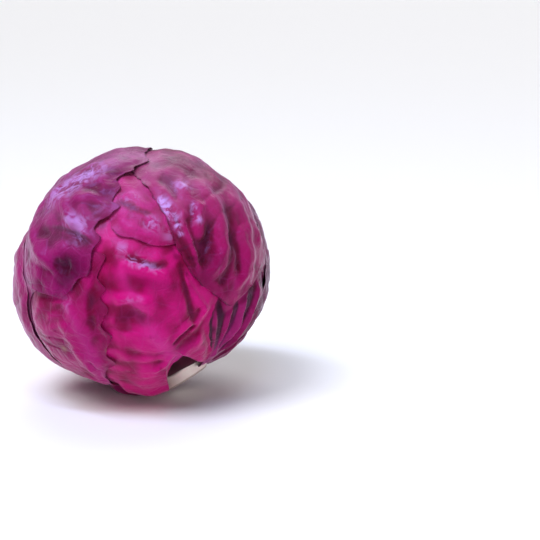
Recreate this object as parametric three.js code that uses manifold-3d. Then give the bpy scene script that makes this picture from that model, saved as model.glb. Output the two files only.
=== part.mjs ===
// A head of red cabbage: nine outer leaves lapped round a tight heart, all grown from one cut stem.
// Units are millimetres, +Z is up and the front faces -Y. The head lies as it would on a table:
// its stem points down and leans to the front right, and its underside rests on a small flat spot.
//
// Places on the head are given by two angles in degrees. Bearing goes round the stem's axis,
// 0 at the front and positive to the right. Rise is the angle from the stem:
// 0 at the cut face, 90 at the waist and 180 at the crown.
import * as THREE from "three";
import { mergeVertices } from "three/addons/utils/BufferGeometryUtils.js";
import Module from "manifold-3d";

const wasm = await Module();
wasm.setup();

// Head
const waistRadius = 74.9;
const crownRadius = 72.0;
const stemLean = 25; // degrees from straight down
const stemLeanBearing = 63; // degrees, the way the stem leans
const flatSpotRadius = 15;
const flatSpotBlend = 9; // how far round the spot the flattening fades

// Leaves
const leafThickness = 0.8;
const leafGap = 1.0; // air between one leaf and the next
const layerPitch = leafThickness + leafGap;
const climbStart = 4; // how far outside a leaf's edge the leaf above starts to come down
const climbLength = 20; // how far it takes to come down
const settleWidth = 18; // how far the heart takes to make room for a leaf, each side of its edge
const puffWidth = 22; // how far in from its edge a leaf has puffed up in full
const curlWidth = 7; // how wide the lifted rim of a leaf is

// Stem
const stumpRadius = 13.6;
const shoulderRadius = 19.5;
const coreRadius = 15;
const cutFaceReach = 70; // from the middle of the head
const cutSlope = 0.16; // the cut face climbs a little to the right
const stemClearance = 0.7;

const degrees = Math.PI / 180;
const skinRadius = (waistRadius + crownRadius) / 2;

// Broad swellings and hollows of the whole head: [bearing, rise, height, width in degrees]
const swellings = [
  [30, 0, -3.6, 21],
  [92, 18, -3.4, 20],
  [94, 118, -1.0, 20],
  [100, 147, 0.8, 18],
  [-88, 132, -2.4, 22],
  [-90, 160, -3.2, 18],
  [-88, 88, 1.8, 22],
  [-88, 44, -3.4, 20],
  [30, 42, -1.6, 22],
  [-15, 66, 1.4, 26],
  [150, 104, 1.8, 34],
  [-140, 76, -1.2, 26],
];

const heartSlack = 0.6; // extra air between the heart and the first leaf

// A dark hollow in the heart under the front leaf's lifted base: place, depth and width in degrees
const hollow = { place: [5, 32], depth: 9, width: 17 };

// Each leaf's edge is a smooth closed curve through the listed places, and its middle is a place
// that sees every part of the edge. Where an edge shows, its points give its waves.
// A fold is a ridge, or a furrow where its height is negative, along a line of places.
// Leaves are listed from the innermost to the outermost.
const leaves = [
  {
    name: "leaf_back",
    colour: 0x8e2257,
    middle: [178, 88],
    cells: 13,
    puff: 1.6,
    curl: 0.5,
    edge: [
      [148, 20], [172, 14], [-165, 17], [-142, 36], [-130, 60], [-126, 90], [-134, 120],
      [-150, 146], [178, 154], [146, 146], [122, 120], [116, 90], [118, 60], [128, 34],
    ],
    folds: [
      { height: 1.8, width: 6, line: [[176, 18], [178, 60], [178, 110], [178, 140]] },
      { height: 1.2, width: 5, line: [[178, 60], [160, 84], [146, 110]] },
    ],
  },
  {
    name: "leaf_right",
    colour: 0x8a1c53,
    middle: [66, 58],
    cells: 18,
    puff: 1.8,
    curl: 0.6,
    edge: [
      [60, 11], [90, 15], [106, 28], [118, 44], [121, 65], [112, 85], [92, 98], [66, 100], [42, 96],
      [22, 88], [15, 74], [14, 60], [17, 46], [22, 34], [29, 24], [31, 15],
    ],
    folds: [
      { height: 2.6, width: 2.8, line: [[32, 64], [29, 47], [33, 26]] },
      { height: -2.0, width: 2.6, line: [[36.5, 64], [32.5, 47], [34, 28]] },
      { height: 2.4, width: 2.8, line: [[41, 63], [37, 48], [36, 26]] },
      { height: -1.6, width: 3, line: [[46, 62], [42, 50], [38, 34]] },
      { height: 2.6, width: 3.2, line: [[54, 66], [48, 52], [41, 38], [38, 22]] },
      { height: -1.8, width: 3, line: [[61, 68], [55, 54], [46, 38], [41, 24]] },
      { height: 2.6, width: 3.6, line: [[70, 72], [63, 57], [52, 40], [42, 22]] },
      { height: 1.6, width: 4, line: [[86, 66], [78, 50], [64, 34], [52, 20]] },
    ],
  },
  {
    name: "leaf_front",
    colour: 0xb51f6f,
    middle: [-4, 74],
    cells: 19,
    puff: 1.8,
    curl: 0.8,
    edge: [
      [40, 72], [41, 88], [36, 104], [24, 121], [4, 130], [-18, 127], [-36, 114], [-48, 96],
      [-57, 78], [-66, 62], [-78, 46], [-92, 31], [-98, 14], [-70, 12], [-44, 14], [-20, 25],
      [-12, 33], [-3, 40], [5, 42], [13, 35], [24, 28], [28, 34], [27, 41], [25, 49], [26, 57], [32, 63],
    ],
    folds: [
      { height: -2.2, width: 3.4, line: [[20, 92], [18, 80], [17, 68], [17, 54]] },
      { height: 1.6, width: 4, line: [[25, 84], [24, 72], [26, 62]] },
      { height: -1.4, width: 2.8, line: [[0, 47], [10, 52], [18, 56], [25, 59]] },
      { height: 1.4, width: 4, line: [[2, 43], [12, 48], [20, 52]] },
      { height: 1.6, width: 5, line: [[-10, 97], [0, 94], [12, 88]] },
      { height: 1.8, width: 5, line: [[-18, 80], [-8, 80], [4, 73]] },
      { height: 1.2, width: 6, line: [[-20, 64], [-8, 62], [4, 60]] },
      { height: 1.4, width: 6, line: [[-52, 20], [-34, 36], [-22, 50]] },
    ],
  },
  {
    name: "leaf_left",
    colour: 0x9c2468,
    middle: [-68, 74],
    cells: 19,
    puff: 1.6,
    curl: 0.7,
    edge: [
      [-18, 109], [-34, 116], [-58, 122], [-84, 118], [-105, 106], [-121, 86], [-134, 66],
      [-148, 48], [-162, 30], [-166, 12], [-135, 11], [-108, 14], [-84, 25], [-68, 36], [-54, 44],
      [-46, 51], [-38, 54], [-31, 56], [-32, 61], [-28, 65], [-23, 69], [-25, 75], [-21, 78],
      [-18, 81], [-19, 86], [-15, 89], [-17, 95], [-14, 98], [-10, 102],
    ],
    folds: [
      { height: 2.4, width: 4.4, line: [[-84, 26], [-62, 42], [-50, 54], [-44, 66], [-41, 80], [-42, 98]] },
      { height: -1.6, width: 2.8, line: [[-48, 62], [-54, 52], [-62, 42]] },
      { height: 1.4, width: 3.6, line: [[-43, 84], [-58, 84], [-78, 96]] },
      { height: 1.4, width: 3.6, line: [[-46, 66], [-64, 68], [-86, 80]] },
      { height: 1.2, width: 3.4, line: [[-42, 76], [-32, 78], [-22, 86]] },
    ],
  },
  {
    name: "leaf_crown_front",
    colour: 0xa82370,
    middle: [105, 108],
    cells: 20,
    puff: 1.6,
    curl: 0.5,
    edge: [
      [-2, 118], [-3, 112], [0, 107], [4, 105], [8, 101], [11, 98], [16, 96], [22, 95], [34, 96],
      [52, 92], [70, 84], [88, 66], [104, 44], [118, 16], [130, 13], [137, 28], [139, 50], [141, 80],
      [146, 105], [156, 128], [180, 146], [-120, 162], [-40, 158], [-16, 146], [-12, 132], [-8, 124],
    ],
    folds: [
      { height: -1.6, width: 2.8, line: [[-2, 126], [4, 123], [12, 114], [18, 108]] },
      { height: 1.8, width: 3.6, line: [[-4, 132], [6, 128], [14, 120], [19, 113]] },
      { height: 1.2, width: 3.4, line: [[0, 118], [7, 112], [15, 102]] },
      { height: 1.4, width: 4, line: [[8, 140], [14, 132], [19, 122]] },
    ],
  },
  {
    name: "leaf_crown_right",
    colour: 0x992060,
    middle: [100, 106],
    cells: 22,
    puff: 2.2,
    curl: 0.7,
    edge: [
      [22, 112], [22, 105], [21, 99], [20, 95], [20, 90], [21, 84], [23, 78], [26, 72], [32, 66],
      [40, 59], [48, 61], [57, 65], [67, 68], [80, 64], [92, 54], [103, 36], [114, 14], [128, 11],
      [138, 24], [140, 45], [142, 70], [145, 95], [150, 118], [162, 138], [-172, 152], [-110, 165],
      [0, 168], [32, 158], [26, 146], [23, 136], [22, 128], [22, 120],
    ],
    folds: [
      { height: 2.4, width: 3.4, line: [[27, 142], [26, 126], [26, 112], [27, 98]] },
      { height: -2.0, width: 3.4, line: [[35, 132], [33, 116], [31, 100], [30, 80]] },
      { height: -1.8, width: 2.4, line: [[25, 103], [27, 96], [27, 89], [25, 80]] },
      { height: 2.6, width: 4.2, line: [[50, 122], [45, 100], [41, 83], [34, 72]] },
      { height: -1.8, width: 3.6, line: [[54, 108], [49, 90], [44, 70]] },
      { height: 2.4, width: 4.4, line: [[64, 110], [60, 92], [55, 78], [48, 65]] },
      { height: 1.8, width: 5, line: [[84, 112], [74, 96], [66, 78]] },
      { height: 1.6, width: 6, line: [[112, 22], [116, 60], [108, 100], [92, 130]] },
    ],
  },
  {
    name: "leaf_crown_left",
    colour: 0x9a2a72,
    middle: [-90, 120],
    cells: 23,
    puff: 1.8,
    curl: 0.6,
    edge: [
      [-100, 15], [-88, 35], [-77, 60], [-70, 84], [-61, 98], [-51, 100], [-43, 96], [-37, 93],
      [-32, 94], [-26, 97], [-20, 98], [-16, 103], [-14, 107], [-9, 110], [-11, 115], [-7, 118],
      [0, 119], [5, 121], [2, 125], [6, 128], [10, 130], [11, 136], [17, 138], [22, 137], [26, 140],
      [40, 141], [49, 148], [77, 152], [115, 151], [155, 147], [-170, 136], [-155, 116],
      [-148, 90], [-146, 60], [-146, 35], [-130, 17],
    ],
    folds: [
      { height: -1.4, width: 3, line: [[-50, 125], [-36, 122], [-24, 116], [-14, 107]] },
      { height: 1.6, width: 5, line: [[-56, 116], [-38, 112], [-26, 108]] },
      { height: 1.8, width: 6, line: [[-40, 140], [-22, 134], [-6, 127]] },
      { height: -1.2, width: 4, line: [[-30, 132], [-14, 127], [0, 124]] },
      { height: 1.6, width: 6, line: [[-96, 60], [-92, 100], [-80, 134], [-40, 158]] },
      { height: 1.2, width: 5, line: [[-88, 112], [-66, 108], [-48, 102]] },
      { height: 1.4, width: 5, line: [[-84, 128], [-60, 140], [-20, 146]] },
    ],
  },
  {
    name: "leaf_outer_right",
    colour: 0x7d1b4f,
    middle: [126, 74],
    cells: 17,
    puff: 2.0,
    curl: 0.6,
    edge: [
      [124, 11], [158, 15], [176, 30], [180, 50], [-179, 74], [176, 92], [174, 112], [164, 128],
      [150, 139], [136, 136], [120, 138], [104, 128], [92, 118], [89, 104], [83, 92], [84, 78],
      [78, 66], [79, 53], [73, 40], [77, 25], [90, 13],
    ],
    folds: [
      { height: 3.4, width: 6, line: [[124, 14], [125, 40], [126, 74]] },
      { height: 1.8, width: 4.6, line: [[126, 70], [127, 95], [128, 124]] },
      { height: 1.6, width: 4, line: [[125, 48], [112, 62], [98, 84]] },
      { height: 1.6, width: 4, line: [[126, 54], [142, 68], [158, 90]] },
      { height: 1.4, width: 4, line: [[126, 82], [114, 96], [104, 114]] },
      { height: 1.4, width: 4, line: [[126, 86], [142, 98], [154, 118]] },
    ],
  },
  {
    name: "leaf_outer_left",
    colour: 0x8a2a6b,
    middle: [-120, 78],
    cells: 18,
    puff: 1.8,
    curl: 0.5,
    edge: [
      [-80, 14], [-84, 34], [-80, 48], [-80, 60], [-73, 74], [-69, 90], [-61, 102], [-65, 110],
      [-66, 118], [-72, 130], [-86, 141], [-108, 148], [-124, 144], [-142, 144], [-158, 124],
      [-168, 108], [-168, 92], [-176, 72], [178, 48], [172, 26], [-170, 13], [-125, 11],
    ],
    folds: [
      { height: 3.4, width: 6, line: [[-122, 40], [-121, 58], [-120, 78]] },
      { height: 1.8, width: 4.6, line: [[-120, 74], [-119, 100], [-116, 128]] },
      { height: 1.6, width: 4, line: [[-121, 52], [-106, 66], [-92, 88]] },
      { height: 1.6, width: 4, line: [[-121, 56], [-138, 70], [-152, 90]] },
      { height: 1.4, width: 4, line: [[-119, 86], [-104, 100], [-90, 122]] },
      { height: 1.4, width: 4, line: [[-119, 90], [-134, 104], [-146, 124]] },
    ],
  },
];

const smoothStep = (x) => THREE.MathUtils.smoothstep(x, 0, 1);

// The unit vector from the middle of the upright head to a place on it.
function direction([bearing, rise]) {
  const b = bearing * degrees;
  const r = rise * degrees;
  return new THREE.Vector3(Math.sin(r) * Math.sin(b), -Math.sin(r) * Math.cos(b), -Math.cos(r));
}

// Adds to a leaf what the functions below ask of it again and again.
const edgeTableSize = 360;
const edgeBlur = 8;
function prepareLeaf(leaf) {
  leaf.axis = direction(leaf.middle);
  leaf.east = new THREE.Vector3(0, 0, 1).cross(leaf.axis).normalize();
  leaf.north = leaf.axis.clone().cross(leaf.east);
  leaf.curve = new THREE.CatmullRomCurve3(leaf.edge.map(direction), true);
  leaf.reach = new Array(edgeTableSize).fill(0);
  for (const point of leaf.curve.getPoints(edgeTableSize * 4)) {
    const d = point.normalize();
    const slot = Math.floor(turnAbout(leaf, d) * edgeTableSize) % edgeTableSize;
    leaf.reach[slot] = Math.max(leaf.reach[slot], d.angleTo(leaf.axis));
  }
  for (let i = 1; i < 2 * edgeTableSize; i++) {
    const slot = i % edgeTableSize;
    if (leaf.reach[slot] === 0) leaf.reach[slot] = leaf.reach[slot - 1] ?? 0;
  }
  const furthest = leaf.reach.map((_, slot) => Math.max(...slotsRound(leaf.reach, slot)));
  leaf.broadReach = furthest.map((_, slot) => {
    const reaches = slotsRound(furthest, slot);
    return reaches.reduce((sum, reach) => sum + reach) / reaches.length;
  });
  for (const fold of leaf.folds) fold.points = fold.line.map(direction);
}

// The entries of an edge table close to a slot, on both sides.
function slotsRound(table, slot) {
  const offsets = Array.from({ length: 2 * edgeBlur + 1 }, (_, i) => i - edgeBlur);
  return offsets.map((offset) => table[(slot + offset + edgeTableSize) % edgeTableSize]);
}

// Which way a direction lies from a leaf's middle, as a share of a full turn.
function turnAbout(leaf, d) {
  const turn = Math.atan2(d.dot(leaf.north), d.dot(leaf.east)) / (2 * Math.PI);
  return (turn + 1) % 1;
}

// How far inside a leaf's edge a direction lies, in millimetres, negative outside.
function depthInside(leaf, d, table = leaf.reach) {
  const along = turnAbout(leaf, d) * edgeTableSize - 0.5;
  const slot = Math.floor(along);
  const before = table[(slot + edgeTableSize) % edgeTableSize];
  const after = table[(slot + 1 + edgeTableSize) % edgeTableSize];
  const reach = THREE.MathUtils.lerp(before, after, along - slot);
  return (reach - d.angleTo(leaf.axis)) * skinRadius;
}

// 1 on a leaf and close round it, falling to 0 further out: how much the leaf above must climb.
function climb(leaf, d) {
  return smoothStep((depthInside(leaf, d, leaf.broadReach) + climbStart + climbLength) / climbLength);
}

// 1 well inside a leaf and 0 well outside: how much the heart makes room for it.
function room(leaf, d) {
  return smoothStep((depthInside(leaf, d, leaf.broadReach) + settleWidth) / (2 * settleWidth));
}

// The outside of the whole head as a plain swollen ball.
function formRadius(d) {
  const across = Math.hypot(d.x, d.y) / waistRadius;
  let radius = 1 / Math.hypot(across, d.z / crownRadius);
  for (const [bearing, rise, height, width] of swellings) {
    const away = d.angleTo(direction([bearing, rise])) / (width * degrees);
    radius += height * Math.exp(-away * away);
  }
  return radius;
}

// What the leaves lie on: the plain ball, let in by as many leaves as pass over it.
function innerRadius(d) {
  const depth = leaves.reduce((sum, leaf) => sum + room(leaf, d), 0) * layerPitch;
  return formRadius(d) - depth;
}

// Where the head rests no layer reaches below the floor, or into the layers that lie between.
function pressed(radius, layersBelow, d) {
  const downward = d.dot(underside);
  if (downward < 0.5) return radius;
  return Math.min(radius, (restHeight - layersBelow * layerPitch) / downward);
}

// The leaf that carries the head lies flat on the floor all over the spot.
function flattened(radius, d) {
  const fromSpot = d.angleTo(underside) * restHeight;
  const flatness = smoothStep((flatSpotRadius + flatSpotBlend - fromSpot) / flatSpotBlend);
  return flatness === 0 ? radius : THREE.MathUtils.lerp(radius, restHeight / d.dot(underside), flatness);
}

// A fold's height at a direction: a rounded ridge that dies away at both ends of its line.
const foldFade = 0.22;
function foldHeight(fold, d) {
  let nearest = Infinity;
  let along = 0;
  const pieces = fold.points.length - 1;
  for (let i = 0; i < pieces; i++) {
    const start = fold.points[i];
    const run = fold.points[i + 1].clone().sub(start);
    const t = THREE.MathUtils.clamp(d.clone().sub(start).dot(run) / run.lengthSq(), 0, 1);
    const away = d.distanceTo(start.clone().addScaledVector(run, t));
    if (away < nearest) {
      nearest = away;
      along = (i + t) / pieces;
    }
  }
  const across = (nearest * skinRadius) / fold.width;
  const fade = smoothStep(along / foldFade) * smoothStep((1 - along) / foldFade);
  return fold.height * Math.exp(-across * across) * fade;
}

// Soft lumps a few centimetres apart, from -1 to 1.
const lumps = (d) => Math.sin(9 * d.x + 4 * d.z + 1) * Math.sin(8 * d.y - 3 * d.x) * Math.sin(10 * d.z + 2);

// Waves about a centimetre long that lift a leaf's rim, from 0 to 1.
const rimWave = (d) => 0.5 + 0.5 * Math.sin(19 * d.x + 2) * Math.sin(21 * d.z + 13 * d.y);

// How far a leaf stands off what lies under it. What a leaf above covers lies flat.
const lumpHeight = 0.9;
function lift(index, d) {
  const leaf = leaves[index];
  const broadly = depthInside(leaf, d, leaf.broadReach);
  const puff = smoothStep(broadly / puffWidth);
  const folds = leaf.folds.reduce((sum, fold) => sum + foldHeight(fold, d), 0);
  const body = puff * (leaf.puff + lumpHeight * lumps(d)) + smoothStep(broadly / curlWidth) * folds;
  const rim = leaf.curl * rimWave(d) * (1 - smoothStep(depthInside(leaf, d) / curlWidth));
  const bare = leaves.slice(index + 1).reduce((share, above) => share * (1 - climb(above, d)), 1);
  return Math.max(body + rim, 0) * bare;
}

// The outer face of a leaf, resting on the leaves below it.
function leafRadius(index, d) {
  const under = leaves.slice(0, index).reduce((sum, leaf) => sum + climb(leaf, d), 0);
  return innerRadius(d) + (under + 1) * layerPitch + lift(index, d);
}

function pressedLeafRadius(index, d) {
  const outer = leaves.slice(index + 1);
  const radius = outer.length === 0 ? flattened(leafRadius(index, d), d) : leafRadius(index, d);
  return pressed(radius, outer.reduce((sum, leaf) => sum + climb(leaf, d), 0), d);
}

function pressedHeartRadius(d) {
  const layersBelow = leaves.reduce((sum, leaf) => sum + climb(leaf, d), 0);
  const away = d.angleTo(direction(hollow.place)) / (hollow.width * degrees);
  return pressed(innerRadius(d), layersBelow, d) - heartSlack - hollow.depth * Math.exp(-away * away);
}

// A place on a square as a share of the way out to its rim, and of a turn round it.
function squareToDisc(a, b) {
  const out = Math.max(Math.abs(a), Math.abs(b));
  if (out === 0) return [0, 0];
  const sideways = Math.abs(a) >= Math.abs(b);
  const eighths = sideways ? b / a : 2 - a / b;
  const halfTurn = (sideways ? a : b) < 0 ? 4 : 0;
  return [out, ((eighths + halfTurn + 8) % 8) / 8];
}

// A leaf is a square net of cells stretched over the head from its middle to its edge,
// with an outer and an inner face a leaf's thickness apart and a rim between them.
function leafGeometry(index) {
  const leaf = leaves[index];
  const n = leaf.cells;
  const outer = [];
  const inner = [];
  for (let row = 0; row <= n; row++) {
    for (let column = 0; column <= n; column++) {
      const [out, turn] = squareToDisc((2 * column) / n - 1, (2 * row) / n - 1);
      const rim = leaf.curve.getPoint(turn).normalize();
      const swing = new THREE.Quaternion().setFromUnitVectors(leaf.axis, rim);
      const d = leaf.axis.clone().applyQuaternion(new THREE.Quaternion().slerp(swing, out));
      const radius = pressedLeafRadius(index, d);
      outer.push(...d.clone().multiplyScalar(radius));
      inner.push(...d.clone().multiplyScalar(radius - leafThickness));
    }
  }
  const faces = [];
  const count = (n + 1) * (n + 1);
  const addQuad = (a, b, c, d) => faces.push(a, b, c, a, c, d);
  for (let row = 0; row < n; row++) {
    for (let column = 0; column < n; column++) {
      const start = row * (n + 1) + column;
      const corners = [start, start + 1, start + n + 2, start + n + 1];
      // The cells are split along lines that run outwards from the leaf's middle.
      const turned = (2 * row + 1 - n) * (2 * column + 1 - n) < 0;
      if (turned) corners.push(corners.shift());
      const [a, b, c, d] = corners;
      addQuad(a, b, c, d);
      addQuad(count + a, count + d, count + c, count + b);
    }
  }
  for (let i = 0; i < n; i++) {
    const sides = [
      [i, i + 1],
      [i * (n + 1) + n, (i + 1) * (n + 1) + n],
      [n * (n + 1) + i + 1, n * (n + 1) + i],
      [(i + 1) * (n + 1), i * (n + 1)],
    ];
    for (const [from, to] of sides) addQuad(from, count + from, count + to, to);
  }
  const geometry = new THREE.BufferGeometry();
  geometry.setAttribute("position", new THREE.Float32BufferAttribute([...outer, ...inner], 3));
  geometry.setIndex(faces);
  return geometry;
}

// The tight inner leaves show nowhere, so the heart is one lumpy ball under the outer leaves.
const heartDetail = 8;
function heartGeometry() {
  const geometry = mergedGeometry(new THREE.IcosahedronGeometry(1, heartDetail));
  const place = geometry.getAttribute("position");
  for (let i = 0; i < place.count; i++) {
    const d = new THREE.Vector3().fromBufferAttribute(place, i).normalize();
    d.multiplyScalar(pressedHeartRadius(d));
    place.setXYZ(i, d.x, d.y, d.z);
  }
  return geometry;
}

// The stem is a tapering core, a shoulder that the leaf bases grow from, and a stump cut flat.
const stemSides = 36;
const cutBevel = 1;
const stumpStart = 61; // from the middle of the head
function stemGeometry(clearance) {
  const profile = [
    [0, -12],
    [5, -12],
    [coreRadius - 5, -30],
    [coreRadius, -48],
    [shoulderRadius - 2, -54],
    [shoulderRadius, -58],
    [shoulderRadius - 3, -stumpStart],
    [stumpRadius + 0.8, -stumpStart - 3],
    [stumpRadius, cutBevel - cutFaceReach],
    [stumpRadius - cutBevel, -cutFaceReach],
    [0, -cutFaceReach],
  ];
  const grown = profile.map(([radius, height], i) => {
    const end = i < 2 ? clearance : i > profile.length - 3 ? -clearance : 0;
    return new THREE.Vector2(radius === 0 ? 0 : radius + clearance, height + end);
  });
  const geometry = new THREE.LatheGeometry(grown.reverse(), stemSides).rotateX(Math.PI / 2);
  const place = geometry.getAttribute("position");
  for (let i = 0; i < place.count; i++) {
    if (place.getZ(i) < -stumpStart) place.setZ(i, place.getZ(i) + cutSlope * place.getX(i));
  }
  return geometry;
}

// Geometry with its shared vertices merged.
function mergedGeometry(geometry) {
  const bare = geometry.clone();
  bare.deleteAttribute("normal");
  bare.deleteAttribute("uv");
  return mergeVertices(bare, 1e-4);
}

function solid(geometry) {
  const merged = mergedGeometry(geometry);
  return new wasm.Manifold(
    new wasm.Mesh({
      numProp: 3,
      vertProperties: merged.attributes.position.array,
      triVerts: new Uint32Array(merged.index.array),
    }),
  );
}

function meshFrom(body, name, colour, roughness) {
  const made = body.getMesh();
  const geometry = new THREE.BufferGeometry();
  geometry.setAttribute("position", new THREE.BufferAttribute(made.vertProperties, 3));
  geometry.setIndex(new THREE.BufferAttribute(made.triVerts, 1));
  geometry.computeVertexNormals();
  const material = new THREE.MeshStandardMaterial({ color: colour, roughness, metalness: 0 });
  const mesh = new THREE.Mesh(geometry, material);
  mesh.name = name;
  return mesh;
}

leaves.forEach(prepareLeaf);

// Turns the upright head to how it lies, its stem leaning, with the floor at the flat spot.
const leanBearing = stemLeanBearing * degrees;
const leanAxis = new THREE.Vector3(-Math.cos(leanBearing), -Math.sin(leanBearing), 0);
const lying = new THREE.Matrix4().makeRotationAxis(leanAxis, stemLean * degrees);
const underside = new THREE.Vector3(0, 0, -1).transformDirection(lying.clone().invert());
const restHeight = Math.sqrt(leafRadius(leaves.length - 1, underside) ** 2 - flatSpotRadius ** 2);
lying.premultiply(new THREE.Matrix4().makeTranslation(0, 0, restHeight));

const lay = (geometry) => solid(geometry.applyMatrix4(lying));
const stemSpace = lay(stemGeometry(stemClearance));

const cabbage = new THREE.Group();
cabbage.add(meshFrom(lay(stemGeometry(0)), "stem", 0xe3cdb4, 0.7));
cabbage.add(meshFrom(lay(heartGeometry()).subtract(stemSpace), "heart", 0xa8487f, 0.5));
leaves.forEach((leaf, index) => {
  const blade = lay(leafGeometry(index)).subtract(stemSpace);
  cabbage.add(meshFrom(blade, leaf.name, leaf.colour, 0.4));
});

export default cabbage;
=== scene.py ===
import math

import bpy
import numpy as np
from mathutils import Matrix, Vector


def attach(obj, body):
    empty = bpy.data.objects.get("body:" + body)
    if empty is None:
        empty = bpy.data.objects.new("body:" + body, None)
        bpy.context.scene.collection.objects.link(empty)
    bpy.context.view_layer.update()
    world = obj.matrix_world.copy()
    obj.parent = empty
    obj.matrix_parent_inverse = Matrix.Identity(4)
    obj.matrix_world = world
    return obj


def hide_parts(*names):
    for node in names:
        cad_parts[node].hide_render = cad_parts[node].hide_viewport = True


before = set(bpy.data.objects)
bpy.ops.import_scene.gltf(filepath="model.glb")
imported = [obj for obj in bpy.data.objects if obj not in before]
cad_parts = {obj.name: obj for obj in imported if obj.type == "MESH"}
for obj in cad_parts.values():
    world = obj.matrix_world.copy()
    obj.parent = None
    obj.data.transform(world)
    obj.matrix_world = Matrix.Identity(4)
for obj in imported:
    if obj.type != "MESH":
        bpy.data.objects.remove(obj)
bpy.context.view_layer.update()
bpy.ops.object.select_all(action="DESELECT")
scene = bpy.context.scene
print("frame loaded:", sorted(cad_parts))

# The head. Places on it are (bearing, rise) in degrees about the stem's axis: bearing 0 is the
# front and grows to the right, rise is 0 at the cut face and 180 at the crown. Lengths are in
# millimetres.
head = {
    "waistRadius": 74.9,
    "crownRadius": 72.0,
    "stemLean": 25.0,
    "stemLeanBearing": 63.0,
    "restHeight": 73.052,       # middle of the head above the floor
    "flatSpotRadius": 15.0,
    "flatSpotBlend": 9.0,
    "pressedFrom": 0.5,         # cosine of the slope from straight down where pressing ends
    "layerPitch": 1.8,          # one leaf and the air over it
    "settleWidth": 18.0,        # how gently the heart makes room for a leaf
    "broadClimb": (4.0, 20.0),  # the solids' climb over a lower leaf: where it starts, how long
    "nearClimb": (1.0, 8.0),    # the finer climb of these leaves
    "filling": 0.5,             # share of the hollow between the two climbs that is filled
    "fillingFade": (-0.85, -0.5),  # height where the filling starts and is full, over the radius
    "swellings": [              # bearing, rise, height, width in degrees
        (30, 0, -3.6, 21), (92, 18, -3.4, 20), (94, 118, -1.0, 20), (100, 147, 0.8, 18),
        (-88, 132, -2.4, 22), (-90, 160, -3.2, 18), (-88, 88, 1.8, 22), (-88, 44, -3.4, 20),
        (30, 42, -1.6, 22), (-15, 66, 1.4, 26), (150, 104, 1.8, 34), (-140, 76, -1.2, 26),
    ],
}
skinRadius = (head["waistRadius"] + head["crownRadius"]) / 2


def direction(bearing, rise):
    b, r = np.radians(bearing), np.radians(rise)
    return np.array([np.sin(r) * np.sin(b), -np.sin(r) * np.cos(b), -np.cos(r)])


def directions(places):
    return np.array([direction(*place) for place in places])


def smoothStep(x):
    x = np.clip(x, 0, 1)
    return x * x * (3 - 2 * x)


def angleTo(d, place):
    return np.arccos(np.clip(d @ place, -1, 1))


def turned(vector, axis, angle):
    axis = axis / np.linalg.norm(axis)
    along = np.outer(vector @ axis, axis)
    return along + (vector - along) * math.cos(angle) + np.cross(axis, vector) * math.sin(angle)


leanBearing = math.radians(head["stemLeanBearing"])
leanAxis = np.array([-math.cos(leanBearing), -math.sin(leanBearing), 0])
leanAngle = math.radians(head["stemLean"])
underside = turned(np.array([[0.0, 0.0, -1.0]]), leanAxis, -leanAngle)[0]


def laid(points):
    return (turned(points, leanAxis, leanAngle) + [0, 0, head["restHeight"]]) / 1000


# A soft random field over the head, mostly -1 to 1, with bumps about a wavelength apart.
rippling = {"waves": 18, "finest": 1.35, "coarsest": 0.7, "height": 0.9}


def ripple(d, wavelength, seed):
    rng = np.random.default_rng(seed)
    count = rippling["waves"]
    waves = rng.normal(size=(count, 3))
    waves /= np.linalg.norm(waves, axis=1, keepdims=True)
    spread = rng.uniform(rippling["coarsest"], rippling["finest"], (count, 1))
    waves *= 2 * np.pi * skinRadius / wavelength * spread
    phases = rng.uniform(0, 2 * np.pi, count)
    return np.sin(d @ waves.T + phases).sum(axis=1) / np.sqrt(count) * rippling["height"]


def bumpAt(d, bearing, rise, width):
    return np.exp(-(angleTo(d, direction(bearing, rise)) / np.radians(width)) ** 2)


def formRadius(d):
    across = np.hypot(d[:, 0], d[:, 1]) / head["waistRadius"]
    radius = 1 / np.hypot(across, d[:, 2] / head["crownRadius"])
    for bearing, rise, height, width in head["swellings"]:
        radius = radius + height * bumpAt(d, bearing, rise, width)
    return radius


# The leaves, from the innermost to the outermost. side: squares along the net; folds and creases:
# (height, width, line of places), a furrow where the height is negative; rib: the midrib from the
# base to the tip; the spots of painted shade and highlight: (bearing, rise, width in degrees,
# share), painted shade where the share is positive and a pale violet painted highlight where it is
# negative;
# dryPatches: (bearing, rise, width). The two colours are the leaf's colour in the furrows and on
# the bulges, darkened and lightened as painted shade and painted light, and darker on the leaves at
# the right as painted shade of the side away from the light.
leafBack = {
    "node": "leaf_back",
    "middle": (178, 88), "side": 96, "puff": 1.6,
    "edge": [
        (148, 20), (172, 14), (-165, 17), (-142, 36), (-130, 60), (-126, 90), (-134, 120),
        (-150, 146), (178, 154), (146, 146), (122, 120), (116, 90), (118, 60), (128, 34),
    ],
    "folds": [
        (1.8, 6, [(176, 18), (178, 60), (178, 110), (178, 140)]),
        (1.2, 5, [(178, 60), (160, 84), (146, 110)]),
    ],
    "rib": [(176, 14), (178, 60), (178, 110), (178, 154)],
    "ribHeight": 0.8, "rimLift": 0.6,
    "creases": [], "shadeAndHighlightSpots": [], "dryPatches": [],
    "deepShadedColour": (0.15, 0.001, 0.05), "bulgeLitColour": (0.28, 0.008, 0.11),
}
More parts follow.
